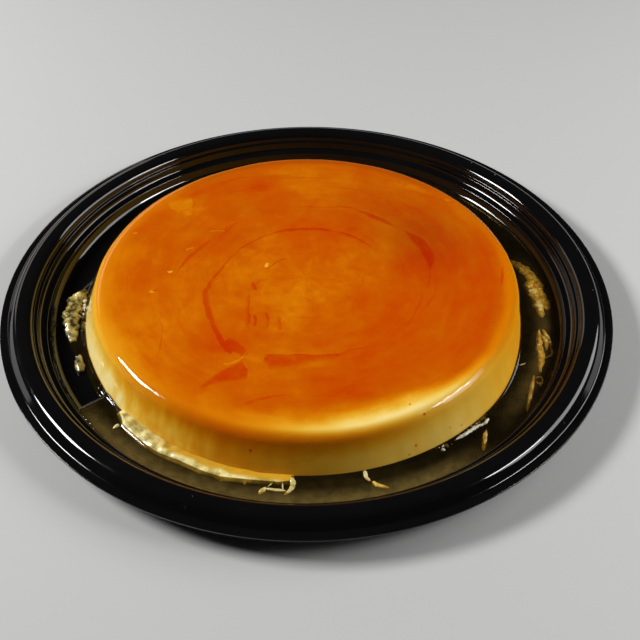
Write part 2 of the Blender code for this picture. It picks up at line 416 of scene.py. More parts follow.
# Pale strokes lighten the top: paler custard in cracks and soft patches, and painted highlights, the thin pale edges
# beside the dark creases and pits.
PALE_STROKES_AND_HIGHLIGHTS = [
    ((-39.4, -61), (-27.4, -52.5), -2.8, 0.8, -0.26, 0.6, 0.8),
    ((-61.8, 21.6), (-57.6, 23.6), 0.5, 0.7, -0.35, 0.4, 0.6),
    ((-51, 37.6), (-42, 37.2), 0.6, 0.6, -0.30, 0.4, 0.6),
    ((-36, 46), (-44, 39), -0.6, 0.5, -0.20, 0.4, 0.6),
    ((-73, 57), (-60, 62), 1.2, 6.0, -0.26, 3.5, 3.0),
    ((-66, 55), (-62, 51), 0.4, 2.4, -0.14, 1.2, 1.2),
    ((-90, 36), (-88, 36.5), 0.6, 1.1, -0.45, 0.5, 0.5),
    ((-69.3, 4.3), (-67, 4.6), 0.6, 1.2, -0.60, 0.4, 0.5),
    ((-78, -11), (-76, -11), 0.6, 0.9, -0.45, 0.4, 0.5),
    ((-20, 7), (-19.6, 11), 0.6, 0.9, -0.50, 0.4, 0.5),
    ((76.6, 63.0), (79.8, 61.0), 0.4, 1.0, -0.60, 0.4, 0.5),
    ((56, 76), (70, 66), 1.2, 3.0, -0.16, 2.0, 2.0),
]
CUT, BLUNT, POINTED = 7.0, 4.0, 1.4
# Brown flecks in the side: place in millimetres, size, depth added.
FLECKS = [
    ((45.3, -87.9, 22.2), 0.8, 0.5), ((51.7, -92.3, 20.3), 1.1, 0.9), ((48.2, -99.9, 7.8), 1.2, 0.8),
    ((48.4, -99.6, 9.4), 0.9, 0.6), ((64.2, -90.1, 8.5), 0.9, 0.4), ((45.1, -102.4, 4.7), 1.0, 0.5),
    ((-25.0, -106.2, 13.2), 1.2, 0.7), ((70.0, -86.6, 6.0), 0.9, 0.4), ((-92.6, -41.0, 20.6), 0.8, 0.4),
]


# %% Flan material
def strongest(tree, place, so_far, strokes, taper, pick='MAXIMUM'):
    """The strongest of the strokes at each place, so that two that cross do not add up."""
    for start, end, bow, half_width, amount, outside, inside, *lean in strokes:
        mask = stroke(tree, place, start, end, bow, half_width, outside, inside, taper, sum(lean))
        so_far = calc(tree, pick, so_far, calc(tree, 'MULTIPLY', mask, amount))
    return so_far


def wandering(tree, place, scale, reach):
    """Millimetres across the top, shifted by noise so that no stroke is a clean arc."""
    flat = put(tree, "Mapping", {"Vector": place, "Scale": (1000.0, 1000.0, 0.0)}).outputs[0]
    noise = put(tree, "TexNoise", {"Vector": place, "Scale": scale, "Detail": 3.0, "Roughness": 0.5})
    centred = put(tree, "VectorMath", {0: noise.outputs["Color"], 1: (0.5, 0.5, 0.5)}, operation='SUBTRACT')
    push = put(tree, "VectorMath", {0: centred.outputs[0], 1: (reach, reach, 0.0)}, operation='MULTIPLY')
    return put(tree, "VectorMath", {0: flat, 1: push.outputs[0]}, operation='ADD').outputs[0]


def swirled(tree, place, rings, turns):
    """A place whose noise runs in rings: the direction from the middle, and the distance, scaled."""
    flat = put(tree, "Mapping", {"Vector": place, "Scale": (1.0, 1.0, 0.0)}).outputs[0]
    distance = put(tree, "VectorMath", {0: flat}, operation='LENGTH').outputs["Value"]
    outward = put(tree, "VectorMath", {0: flat}, operation='NORMALIZE').outputs[0]
    around = put(tree, "VectorMath", {0: outward, "Scale": turns}, operation='SCALE').outputs[0]
    height = put(tree, "CombineXYZ", {"Z": calc(tree, 'MULTIPLY', distance, rings)}).outputs[0]
    return put(tree, "VectorMath", {0: around, 1: height}, operation='ADD').outputs[0]


def flecks_mask(tree, place, flecks):
    """Round soft spots, each by the distance from its own place."""
    total = 0.0
    for middle, size, amount in flecks:
        inputs = {0: place, 1: tuple(MM * value for value in middle)}
        away = put(tree, "VectorMath", inputs, operation='DISTANCE').outputs["Value"]
        spot_mask = spread(tree, away, 0.35 * size * MM, size * MM, amount, 0.0, smooth=True)
        total = calc(tree, 'ADD', spot_mask, total)
    return total


def make_flan_skin():
    material, tree, shader, _ = new_material("caramel_custard", (0.62, 0.17, 0.01))
    place = object_place(tree)
    depth = put(tree, "Attribute", attribute_name="caramel").outputs["Fac"]
    on_top = put(tree, "Attribute", attribute_name="on_top").outputs["Fac"]
    dripping = put(tree, "Attribute", attribute_name="dripping").outputs["Fac"]
    dark_brown_share = put(tree, "Attribute", attribute_name="dark_brown_share").outputs["Fac"]

    clouds = calc(tree, 'SUBTRACT', cloud(tree, place, 34.0, detail=5.0, roughness=0.6), 0.5)
    rings = put(tree, "TexNoise", {"Vector": swirled(tree, place, 85.0, 2.6), "Scale": 1.0, "Detail": 3.0,
                                   "Roughness": 0.55, "Distortion": 0.9}).outputs[0]
    fine = put(tree, "TexNoise", {"Vector": swirled(tree, place, 240.0, 3.0), "Scale": 1.0, "Detail": 2.0,
                                  "Distortion": 0.6}).outputs[0]
    mottle = calc(tree, 'ADD', calc(tree, 'MULTIPLY', clouds, 1.05),
                  calc(tree, 'MULTIPLY', calc(tree, 'SUBTRACT', rings, 0.5), 0.52))
    mottle = calc(tree, 'ADD', mottle, calc(tree, 'MULTIPLY', calc(tree, 'SUBTRACT', fine, 0.5), 0.20))
    depth = calc(tree, 'ADD', depth, calc(tree, 'MULTIPLY', mottle, on_top))
    drips = calc(tree, 'SUBTRACT', cloud(tree, place, 130.0, detail=2.0, stretch=(1.0, 1.0, 0.10)), 0.5)
    depth = calc(tree, 'ADD', depth, calc(tree, 'MULTIPLY', drips, dripping))
    shifted = wandering(tree, place, 85.0, 4.2)
    dark = strongest(tree, shifted, 0.0, FINE_STROKES, POINTED)
    dark = strongest(tree, shifted, dark, BROAD_STROKES, BLUNT)
    dark = strongest(tree, shifted, dark, PATCHES, CUT)
    # Pale strokes, partly painted highlights along the edges of creases.
    pale_and_highlights = strongest(tree, shifted, 0.0, PALE_STROKES_AND_HIGHLIGHTS, BLUNT, 'MINIMUM')
    worn = spread(tree, cloud(tree, place, 210.0, detail=3.0), 0.35, 0.65, 0.56, 0.98)
    marks = calc(tree, 'ADD', calc(tree, 'MULTIPLY', dark, worn), pale_and_highlights)
    depth = calc(tree, 'ADD', depth, calc(tree, 'MULTIPLY', marks, on_top))
    depth = calc(tree, 'ADD', depth, flecks_mask(tree, place, FLECKS))
    stained = caramel_ramp(tree, calc(tree, 'MAXIMUM', depth, 0.0))
    shade = put(tree, "Mix", {0: dark_brown_share, 6: stained, 7: (0.17, 0.026, 0.002, 1.0)}, data_type='RGBA')
    tree.links.new(shade.outputs[2], shader.inputs["Base Color"])
    pores = cloud(tree, place, 650.0, detail=2.0)
    wave = cloud(tree, place, 170.0, detail=2.0)
    height = calc(tree, 'ADD', calc(tree, 'MULTIPLY', pores, 0.18), wave)
    bump = put(tree, "Bump", {"Height": height, "Strength": 0.30, "Distance": 0.0006})
    tree.links.new(bump.outputs["Normal"], shader.inputs["Normal"])
    tree.links.new(bump.outputs["Normal"], shader.inputs["Coat Normal"])
    tree.links.new(put(tree, "Attribute", attribute_name="wet").outputs["Fac"], shader.inputs["Coat Weight"])
    shader.inputs["Roughness"].default_value = 0.5
    shader.inputs["Specular IOR Level"].default_value = 0.0
    shader.inputs["IOR"].default_value = 1.40
    shader.inputs["Coat Roughness"].default_value = 0.04
    shader.inputs["Coat IOR"].default_value = 1.42
    shader.inputs["Subsurface Weight"].default_value = 0.35
    shader.inputs["Subsurface Radius"].default_value = (1.0, 0.42, 0.12)
    shader.inputs["Subsurface Scale"].default_value = 0.0030
    return material


flan_skin = make_flan_skin()
print(f"flan skin: {len(flan_skin.node_tree.nodes)} nodes")


# %% [markdown]
# ### Torn custard, clear caramel and droplets
#
# Torn custard is paler than the flan and tinted here and there by caramel. The pool is clear: a
# glass material, with light let straight through for shadows so that what lies in it stays lit.


# %% Torn custard material
def make_torn_custard(name, deep_colour, pale_colour, wet_roughness, patch_scale=260.0):
    """Soft curd in two colours that run into each other, under a wet film; caramel where stained."""
    material, tree, shader, _ = new_material(name, pale_colour)
    place = object_place(tree)
    patches = put(tree, "ValToRGB", {"Fac": cloud(tree, place, patch_scale, detail=3.0)})
    for stop, (share, colour) in zip(patches.color_ramp.elements, ((0.40, deep_colour), (0.62, pale_colour))):
        stop.position = share
        stop.color = (*colour, 1.0)
    stained = put(tree, "Attribute", attribute_name="stained").outputs["Fac"]
    shade = put(tree, "Mix", {0: stained, 6: patches.outputs["Color"], 7: (0.62, 0.33, 0.01, 1.0)},
                data_type='RGBA')
    tree.links.new(shade.outputs[2], shader.inputs["Base Color"])
    grain = cloud(tree, place, 1400.0, detail=2.0)
    bump = put(tree, "Bump", {"Height": grain, "Strength": 0.30, "Distance": 0.0003})
    tree.links.new(bump.outputs["Normal"], shader.inputs["Normal"])
    shader.inputs["Roughness"].default_value = 0.4
    shader.inputs["Specular IOR Level"].default_value = 0.2
    shader.inputs["Coat Weight"].default_value = 1.0
    shader.inputs["Coat Roughness"].default_value = wet_roughness
    shader.inputs["Subsurface Weight"].default_value = 0.3
    shader.inputs["Subsurface Radius"].default_value = (1.0, 0.5, 0.2)
    shader.inputs["Subsurface Scale"].default_value = 0.0015
    return material


wet_curd = make_torn_custard("wet_curd", (0.40, 0.28, 0.05), (0.76, 0.64, 0.30), 0.08)
lump_curd = make_torn_custard("lump_curd", (0.05, 0.035, 0.005), (0.58, 0.45, 0.12), 0.05, 230.0)
melted_curd = make_torn_custard("melted_curd", (0.40, 0.30, 0.06), (0.84, 0.74, 0.32), 0.05, 200.0)
white_froth = make_torn_custard("white_froth", (0.66, 0.60, 0.40), (0.88, 0.86, 0.76), 0.10, 500.0)
sunk_curd = make_torn_custard("sunk_curd", (0.52, 0.34, 0.04), (0.97, 0.84, 0.30), 0.5, 420.0)
amber_shred = make_torn_custard("amber_shred", (0.40, 0.21, 0.02), (0.66, 0.46, 0.08), 0.12)


# %% Clear caramel material
def make_clear(name, colour, index):
    """Clear liquid: glass to the eye, and plain tinted air to a shadow ray."""
    material, tree, shader, output = new_material(name, colour)
    shader.inputs["Base Color"].default_value = (*colour, 1.0)
    shader.inputs["Roughness"].default_value = 0.0
    shader.inputs["IOR"].default_value = index
    shader.inputs["Transmission Weight"].default_value = 1.0
    open_air = put(tree, "BsdfTransparent", {"Color": (*colour, 1.0)})
    shadow = put(tree, "LightPath").outputs["Is Shadow Ray"]
    either = put(tree, "MixShader", {0: shadow, 1: shader.outputs[0], 2: open_air.outputs[0]})
    tree.links.new(either.outputs[0], output.inputs["Surface"])
    return material


def make_murky(material):
    """Specks of custard hang in the caramel, so a small share of its light comes from within."""
    tree = material.node_tree
    shader = tree.nodes["Principled BSDF"]
    place = object_place(tree)
    specks = put(tree, "ValToRGB", {"Fac": cloud(tree, place, 220.0, detail=3.0, roughness=0.6)})
    specks.color_ramp.elements[0].position = 0.36
    specks.color_ramp.elements[0].color = (0.34, 0.23, 0.06, 1.0)
    specks.color_ramp.elements[1].position = 0.68
    specks.color_ramp.elements[1].color = (0.60, 0.41, 0.11, 1.0)
    # Painted shade: this attribute darkens the pool's colour near the flan's foot, where the flan shades it, and
    # lets the custard specks show farther out.
    murk_and_shade = put(tree, "Attribute", attribute_name="murk_and_shade").outputs["Fac"]
    tint = put(tree, "VectorMath", {0: specks.outputs["Color"], "Scale": murk_and_shade}, operation='SCALE')
    tree.links.new(tint.outputs[0], shader.inputs["Base Color"])
    shader.inputs["Transmission Weight"].default_value = 0.88
    return material


clear_caramel = make_murky(make_clear("clear_caramel", (0.82, 0.66, 0.36), 1.37))
clear_drop = make_clear("clear_drop", (0.97, 0.95, 0.9), 1.34)

# %% [markdown]
# ## The tray
#
# The tray is thermoformed from one thin sheet: a flat floor, a wall that climbs in three ribs, a
# crown, and a rim that falls away to a thin lip. Only the corners of that line are named. Each
# corner is rounded by an arc, and the underside is the same line moved down by the sheet's
# thickness, so the ribs show underneath as they do on the real thing.


# %% Rounded profiles
def rounded(corners, radii, spacing, room_share=0.48):
    """The line through the corners with each inner corner turned on an arc of its own radius.

    An arc starts r tan(a / 2) before its corner, where a is the angle that the line turns through
    there, and its middle lies on the corner's bisector at r / cos(a / 2). The result is then read
    at even steps of length.
    """
    corners = np.array(corners, float)
    pieces = [corners[:1]]
    for corner, before, after, radius in zip(corners[1:-1], corners[:-2], corners[2:], radii):
        into = (corner - before) / np.linalg.norm(corner - before)
        out = (after - corner) / np.linalg.norm(after - corner)
        turn = math.acos(np.clip(into @ out, -1.0, 1.0))
        room = room_share * min(np.linalg.norm(corner - before), np.linalg.norm(after - corner))
        tangent = min(radius * math.tan(turn / 2.0), room)
        swing = np.linspace(-0.5, 0.5, 12)[:, None] * turn
        bend = out - into
        bend /= max(np.linalg.norm(bend), 1e-9)
        middle = corner + bend * tangent / max(math.sin(turn / 2.0), 1e-6)
        along = (into + out) / np.linalg.norm(into + out)
        true_radius = tangent / max(math.tan(turn / 2.0), 1e-6)
        pieces.append(middle + true_radius * (np.sin(swing) * along - np.cos(swing) * bend))
    line = np.concatenate(pieces + [corners[-1:]])
    length = np.concatenate([[0.0], np.cumsum(np.linalg.norm(np.diff(line, axis=0), axis=1))])
    even = np.linspace(0.0, length[-1], max(2, round(length[-1] / spacing)))
    return np.stack([np.interp(even, length, line[:, k]) for k in range(2)], axis=-1)


def moved_inward(corners, distance):
    """The same corners moved square to their line, to the right of its direction."""
    corners = np.array(corners, float)
    along = np.diff(corners, axis=0)
    along /= np.linalg.norm(along, axis=1)[:, None]
    square = np.stack([along[:, 1], -along[:, 0]], axis=-1)
    before = np.concatenate([square[:1], square])
    after = np.concatenate([square, square[-1:]])
    return corners + distance * (before + after) / (1.0 + (before * after).sum(axis=1))[:, None]


# %% Tray
SHEET = 0.95
FLOOR_TOP = 1.2
WALL_CORNERS = [
    (128.6, FLOOR_TOP), (130.4, 7.9), (133.9, 8.4), (134.6, 12.7), (136.2, 13.0),
    (136.6, CROWN_HEIGHT), (144.9, CROWN_HEIGHT), (148.6, 12.7), (TRAY_RADIUS, 12.2),
]
WALL_RADII = [6.8, 0.6, 2.6, 0.5, 0.5, 3.9, 4.4, 1.2]


def tray_height(radius):
    """The tray's upper face at a distance from the axis."""
    line = rounded([(118.0, FLOOR_TOP)] + WALL_CORNERS, WALL_RADII, 0.25, 0.84)
    return np.interp(radius, line[:, 0], line[:, 1])


def make_tray():
    """Rings about Z: out along the upper face, round the lip, and back underneath."""
    upper = rounded([(118.0, FLOOR_TOP)] + WALL_CORNERS, WALL_RADII, 0.25, 0.84)
    lower = rounded(moved_inward([(118.0, FLOOR_TOP)] + WALL_CORNERS, SHEET), WALL_RADII, 0.7, 0.84)[::-1]
    lower[0, 0] = upper[-1, 0]
    floor = np.stack([np.linspace(1.0, 116.0, 12), np.full(12, FLOOR_TOP)], axis=-1)
    underside = np.stack([np.linspace(116.0, 1.0, 8), np.zeros(8)], axis=-1)
    lower[:, 1] = np.maximum(lower[:, 1], 0.0)
    profile = np.concatenate([floor, upper, lower, underside])
    azimuth = np.linspace(-180.0, 180.0, 300, endpoint=False)
    rings = polar(profile[:, :1], azimuth, profile[:, 1:])
    warp = 0.22 * lumps(rings, 45.0, seed=3) * soft_step(120.0, 130.0, profile[:, :1])
    away_from_lip = 1.0 - soft_step(148.0, TRAY_RADIUS, profile[:, :1])
    rings[..., 2] += (warp - 0.22) * away_from_lip * soft_step(3.0, 8.0, profile[:, 1:])
    return skin("tray_body", rings, black_plastic)


tray = make_tray()
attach(tray, "root")
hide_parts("tray")

# %% [markdown]
# ## The flan
#
# Its skin is measured along the profile: `along` runs from the middle of the top, over the
# rounded edge and down the side, so the caramel's depth can be said as how far down it has run.

# %% Flan shape
EDGE_CORNER = 105.8
FOOT_ROUNDING = 0.9
TURNED_IN_FROM, TURNED_IN_TO, TURNED_IN_BY = -26.0, 75.0, 3.4


def flan_profile():
    """Distance from the axis and height, from the middle of the top to under the foot."""
    side = rounded([(96.0, FLAN_TOP), (EDGE_CORNER, FLAN_TOP), (FLAN_RADIUS + 0.2, FLOOR_TOP - 0.05),
                    (104.0, FLOOR_TOP - 0.05)], [7.0, FOOT_ROUNDING], 0.75)
    top = np.stack([np.linspace(1.0, 95.2, 88), np.full(88, FLAN_TOP)], axis=-1)
    base = np.array([[70.0, FLOOR_TOP - 0.05], [2.0, FLOOR_TOP - 0.05]])
    return np.concatenate([top, side, base])


profile = flan_profile()
along = np.concatenate([[0.0], np.cumsum(np.linalg.norm(np.diff(profile, axis=0), axis=1))]) + profile[0, 0]
azimuth = np.linspace(-180.0, 180.0, 684, endpoint=False)[None, :]
radius, height, along = profile[:, :1], profile[:, 1:], along[:, None]

# The foot is drawn in along the right, the side swells and dips, and the top sags to its middle.
drawn_in = TURNED_IN_BY * window(azimuth, TURNED_IN_FROM, TURNED_IN_TO, 16.0)
down_side = soft_step(FLAN_TOP, FLOOR_TOP, height)
flan_rings = polar(radius - drawn_in * down_side * soft_step(90.0, 104.0, radius), azimuth, height)
swell = lumps(flan_rings, 26.0, seed=11) * 0.35 + lumps(flan_rings * (1.0, 1.0, 0.2), 5.0, seed=12) * 0.12
swell = (swell - 0.47) * soft_step(100.0, 106.0, radius)
flan_rings[..., :2] *= 1.0 + (swell / radius)[..., None]
sag = 0.5 * (1.0 - np.clip(radius / 101.0, 0.0, 1.0) ** 2)
ripple = 0.12 * (lumps(flan_rings, 14.0, seed=13) + 1.0)
flan_rings[..., 2] -= (sag + ripple) * soft_step(2.0, 8.0, height)
flan = skin("flan_body", flan_rings, flan_skin)
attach(flan, "root")
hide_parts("flan")

# %% [markdown]
# The depth of caramel is 1 on most of the top. It thins out towards the edge, most of all along
# the front right, where a bare cream band shows, and it has run down the side at the front left.


# %% Caramel depth over the flan
def by_azimuth(azimuth, stations, values):
    """A value that changes round the dish, straight between stations and the same at both ends."""
    return np.interp(azimuth, stations, values)


def spot(centre, size):
    """A soft round spot on the top, 1 at its centre and about a third at its size."""
    away = np.hypot(flan_rings[..., 0] - centre[0], flan_rings[..., 1] - centre[1])
    return np.exp(-(away / size) ** 2)


STATIONS = [-180, -160, -150, -140, -130, -120, -110, -100, -90, -80, -70,
            -60, -50, -40, -30, -20, 0, 40, 90, 140, 180]
RING_DEPTH = [.67, .55, .53, .60, .70, .80, .70, .50, .20, .04, .02,
              .02, .10, .44, .66, .70, .78, .96, 1.06, .78, .67]
BAND_DEPTH = [.35, .33, .38, .50, .62, .86, 1.0, .90, .78, .72, .55,
              .34, .26, .28, .42, .52, .60, .70, .70, .50, .35]
SIDE_DEPTH = [.05, .02, .02, .09, .28, .36, .56, .44, .36, .24, .18,
              .16, .14, .26, .34, .46, .50, .50, .50, .30, .05]
THIN_FROM = [92, 92, 92, 92, 92, 92, 90, 87, 84, 81, 84,
             89, 93, 96, 94, 92, 92, 92, 92, 92, 92]

top_depth = (1.04 - 0.16 * spot((-2, -18), 28.0) - 0.15 * spot((-78, -18), 38.0)
             + 0.14 * spot((76, 0), 40.0) + 0.10 * spot((40, -60), 30.0) + 0.08 * spot((-52, 44), 22.0)
             + 0.10 * spot((58, 34), 22.0) - 0.10 * spot((20, 88), 30.0))
ring_depth = by_azimuth(azimuth, STATIONS, RING_DEPTH)
band_depth = by_azimuth(azimuth, STATIONS, BAND_DEPTH)
side_depth = by_azimuth(azimuth, STATIONS, SIDE_DEPTH)
uneven = 1.4 * lumps(flan_rings, 9.0, seed=14)
thin_from = by_azimuth(azimuth, STATIONS, THIN_FROM) + uneven
caramel = top_depth + (ring_depth - top_depth) * soft_step(thin_from, 103.0 + 0.5 * uneven, along)
caramel += (band_depth - ring_depth) * soft_step(102.0, 108.0, along)
caramel += (side_depth - band_depth) * soft_step(106.0, 119.0, along)
paint(flan, "caramel", caramel)
paint(flan, "on_top", 1.0 - soft_step(94.0, 104.0, along) + 0.0 * azimuth)
runs = 0.80 * window(azimuth, -148.0, -112.0, 9.0) * soft_step(103.0, 114.0, along)
paint(flan, "dripping", runs + 0.12 * soft_step(104.0, 112.0, along))
# Soft patches on the top, and a ring along its back edge, are mixed towards dark brown.
mottled = 0.10 + 0.09 * lumps(flan_rings * (1.0, 1.8, 1.0), 11.0, seed=15)
dark_brown_share = mottled * (0.05 + 0.6 * spot((-20, 80), 46.0) + 0.5 * spot((-66, 30), 40.0) + 0.3 * spot((80, -10), 34.0))
dark_brown_share += 0.32 * spot((62, 32), 26.0) + 0.14 * spot((40, 64), 26.0)
dark_brown_share += 0.30 * window(azimuth, 46.0, 132.0, 14.0) * soft_step(97.0, 101.0, along)
paint(flan, "dark_brown_share", np.clip(dark_brown_share, 0.0, 0.6) * (1.0 - soft_step(101.0, 106.0, along)))
dry = window(azimuth, -41.0, 14.0, 3.0) * soft_step(98.0, 101.0, along)
paint(flan, "wet", 0.90 - 0.88 * dry)
print(f"caramel depth from {caramel.min():.2f} to {caramel.max():.2f}")


# %% [markdown]
# ## The pool of caramel
#
# Thin caramel fills the front of the dish from wall to wall, and clings as a narrow bead round
# the rest of the flan's foot. Where a liquid meets a wall it climbs a little, and that small
# slope draws the bright line round the foot and part of the dark band beside it, so the level is
# not flat. The rest of the dark band is painted shade: the pool's colour is kept dark near the foot.

# %% Pool shape
POOL_START, POOL_END = -147.0, 62.0
POOL_WALL_RADIUS = 128.9
BEAD_WIDTH, BEAD_HEIGHT = 3.1, 0.9
CLIMB_HEIGHT, CLIMB_LENGTH = 0.7, 1.2
POOL_EDGE = 2.6
UNDER = 0.06


def foot_radius(azimuth):
    """Where the flan meets the floor."""
    return FLAN_RADIUS - TURNED_IN_BY * window(azimuth, TURNED_IN_FROM, TURNED_IN_TO, 16.0)


def dome(reach):
    """A rounded edge: 0 at the rim, 1 from a reach of 1 inwards, a quarter circle between."""
    return np.sqrt(1.0 - (1.0 - np.clip(reach, 0.0, 1.0)) ** 2)


def skirt_edge(azimuth):
    """How far the torn skirt reaches out from the axis."""
    return np.interp(azimuth, [-143, -140, -136, -131, -125, -121, -119, -113, -109, -105, -101, -96, -92],
                     [113.5, 115.0, 118.2, 118.8, 119.8, 119.0, 118.6, 119.3, 119.6, 118.4, 117.6, 117.2, 115.0])


def make_pool():
    """Rings are slices across the pool, from under its outer edge over the top to the flan."""
    azimuth = np.linspace(-180.0, 180.0, 900, endpoint=False)[:, None]
    foot = foot_radius(azimuth)
    past_end = np.minimum(around_azimuth(azimuth, POOL_START) % 360.0,
                          around_azimuth(POOL_END, azimuth) % 360.0)
    inside = (azimuth > POOL_START) & (azimuth < POOL_END)
    wobble = lumps(polar(120.0, azimuth, 0.0), 4.0, seed=21)[:, :1] * 0.5
    from_end = np.where(inside, np.radians(past_end) * 120.0 + wobble, 0.0)
    puddle = np.where(inside, 0.0, window(azimuth, 172.0, 197.0, 5.0))
    bead_width = BEAD_WIDTH + (5.5 + 2.0 * wobble) * puddle
    outer = foot + bead_width + (POOL_WALL_RADIUS - foot - bead_width) * soft_step(0.0, 1.4, from_end)
    share = 1.0 - np.linspace(0.0, 1.0, 34) ** 0.8
    radius = foot - 0.5 + (outer - foot + 0.5) * share
    pool = (SYRUP_LEVEL - FLOOR_TOP) * dome(from_end / POOL_EDGE)
    bead = (BEAD_HEIGHT + 0.4 * puddle) * dome((foot + bead_width - radius) / BEAD_WIDTH)
    teeth = 1.0 + 0.2 * lumps(polar(foot, azimuth, 0.0), 1.1, seed=22)[:, :1]
    fringe = 1.1 * teeth * window(azimuth, -190.0, -144.0, 6.0) * np.exp(-np.maximum(radius - foot, 0.0) / 0.7)
    climb = CLIMB_HEIGHT * np.exp(-np.maximum(radius - foot, 0.0) / CLIMB_LENGTH) * dome(
        (foot + 3.0 * BEAD_WIDTH - radius) / (2.5 * BEAD_WIDTH))
    at_skirt = window(azimuth, -143.0, -94.0, 2.0)
    climb = climb * (1.0 - at_skirt)
    by_skirt = 1.0 * at_skirt * np.exp(-np.maximum(radius - skirt_edge(azimuth) + 0.6, 0.0) / 0.7)
    by_skirt = by_skirt * soft_step(-1.5, -0.6, radius - skirt_edge(azimuth))
    by_wall = 0.5 * np.exp(-np.maximum(outer - radius, 0.0) / 1.2) * soft_step(2.0, 6.0, from_end)
    depth = np.maximum(pool, bead) + (climb + by_wall + by_skirt) * np.maximum(pool, bead) / 1.9 + fringe
    top = polar(radius, azimuth, FLOOR_TOP - 0.03 + depth)
    bottom = polar(radius[:, ::-1], azimuth, tray_height(radius[:, ::-1]) - UNDER)
    rings = np.concatenate([top, bottom[:, 1:-1]], axis=1)
    piece = skin("caramel_pool", rings, clear_caramel, hoop=True)
    reach = np.linalg.norm(rings[..., :2], axis=-1)
    # Painted shade: the pool's colour stays dark round the flan's foot and grows murky out towards the wall at the
    # front and in a band at the right.
    front = (0.05 + 1.35 * soft_step(117.5, 127.0, reach)) * window(azimuth, -144.0, -56.0, 8.0)
    right = 1.4 * np.exp(-((reach - 120.5) / 4.0) ** 2) * window(azimuth, -38.0, 12.0, 9.0)
    paint(piece, "murk_and_shade", 0.14 + front + right)
    return piece


pool = make_pool()
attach(pool, "root")
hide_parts("syrup")

# %% [markdown]
# ## Torn custard
#
# Bits of custard tore off when the tin was lifted: a wet apron along the front left, two lumps on
# the left, a clump sunk in the caramel on the right, and thin shreds. All of them are one kind of
# shape, a lumpy tube carried along a path on the floor, so one function makes them.


# %% Lumpy tubes
def smooth_path(stations, count):
    """A Catmull-Rom curve through stations of azimuth, radius and height, read at count places.

    Between stations p1 and p2 it is half of 2 p1 + (p2 - p0) t + (2 p0 - 5 p1 + 4 p2 - p3) t^2
    + (3 p1 - p0 - 3 p2 + p3) t^3.
    """
    azimuth, radius, height = np.array(stations, float).T
    places = polar(radius, azimuth, height)
    ends = np.concatenate([2 * places[:1] - places[1:2], places, 2 * places[-1:] - places[-2:-1]])
    t = np.linspace(0.0, len(places) - 1 - 1e-6, count)
    i = t.astype(int)
    t = (t - i)[:, None]
    p0, p1, p2, p3 = ends[i], ends[i + 1], ends[i + 2], ends[i + 3]
    return 0.5 * (2 * p1 + (p2 - p0) * t + (2 * p0 - 5 * p1 + 4 * p2 - p3) * t ** 2
                  + (3 * p1 - p0 - 3 * p2 + p3) * t ** 3)


def torn(stations, half_width, half_height, count=60, around=20, lump=0.3, lump_size=2.5, seed=1, blunt=0.35):
    """Rings of a lumpy tube: an ellipse square to the path, swollen and dented by noise.

    It closes to a point at both ends as (4 s (1 - s)) to the power `blunt`, where s is the share
    of the way along, and it never goes below the floor.
    """
    path = smooth_path(stations, count)
    forward = np.gradient(path, axis=0)
    forward /= np.linalg.norm(forward, axis=1)[:, None]
    across = np.cross([0.0, 0.0, 1.0], forward)
    across /= np.linalg.norm(across, axis=1)[:, None]
    up = np.cross(forward, across)
    share = np.linspace(0.004, 0.996, count)[:, None, None]
    close = (4.0 * share * (1.0 - share)) ** blunt
    turn = np.linspace(0.0, 2.0 * np.pi, around, endpoint=False)[None, :, None]
    width = np.interp(share, np.linspace(0.0, 1.0, np.size(half_width)), np.atleast_1d(half_width))
    tall = np.interp(share, np.linspace(0.0, 1.0, np.size(half_height)), np.atleast_1d(half_height))
    section = (width * np.cos(turn) * across[:, None] - tall * np.sin(turn) * up[:, None]) * close
    rings = path[:, None] + section
    bumpy = lumps(rings, lump_size, seed) + 0.5 * lumps(rings, 0.42 * lump_size, seed + 1)
    rings = path[:, None] + section * (1.0 + lump * bumpy[..., None])
    rings[..., 2] = np.maximum(rings[..., 2], FLOOR_TOP - UNDER)
    return rings


# %% The skirt of torn custard at the front left
def make_skirt():
    """A low melted apron that leans on the foot, each ring a slice across it.

    With s from 0 at the flan to 1 at its outer edge, its top is h sqrt(1 - s^6) high, where h
    falls from the left end to the right, plus long lumps that grow towards the outer edge and
    froth at the left end.
    """
    azimuth = np.linspace(-140.0, -93.0, 460)[:, None]
    inner = foot_radius(azimuth) - 2.2
    edge = skirt_edge(azimuth)
    edge = edge + 0.6 * lumps(polar(edge, 0.5 * azimuth, 0.0), 2.6, seed=31)[:, :1]
    share = np.linspace(1.0, 0.0, 40)
    radius = inner + (edge - inner) * share
    closing = dome(window(azimuth, -140.0, -93.0, 1.5) * 0.9)
    tall = np.interp(azimuth, [-140, -136, -126, -116, -104, -93], [2.6, 3.3, 3.2, 2.9, 2.6, 2.4]) * closing
    drawn_out = polar(radius, 0.42 * azimuth, 0.0)
    froth = lumps(polar(radius, azimuth, 0.0), 2.8, seed=33) * window(azimuth, -141.0, -119.0, 5.0)
    bumps = lumps(drawn_out, 3.0, seed=32) + 0.3 * lumps(drawn_out, 1.2, seed=34) + 0.9 * froth
    height = tall * np.sqrt(1.0 - share ** 6) * (0.86 + 0.22 * share + 0.15 * bumps * (0.4 + share))
    top = polar(radius, azimuth, FLOOR_TOP - UNDER + height)
    bottom = polar(radius[:, ::-1], azimuth, FLOOR_TOP - UNDER)
    rings = np.concatenate([top, bottom[:, 1:-1]], axis=1)
    piece = skin("torn_skirt", rings, melted_curd)
    out = np.linalg.norm(rings[..., :2], axis=-1) - foot_radius(azimuth)
    paint(piece, "stained", 0.95 * soft_step(3.6, 1.0, out + 1.1 * lumps(rings, 2.4, seed=35))
          * soft_step(-130.0, -119.0, azimuth))
    return piece


skirt = make_skirt()
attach(skirt, "root")
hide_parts("curd_skirt")

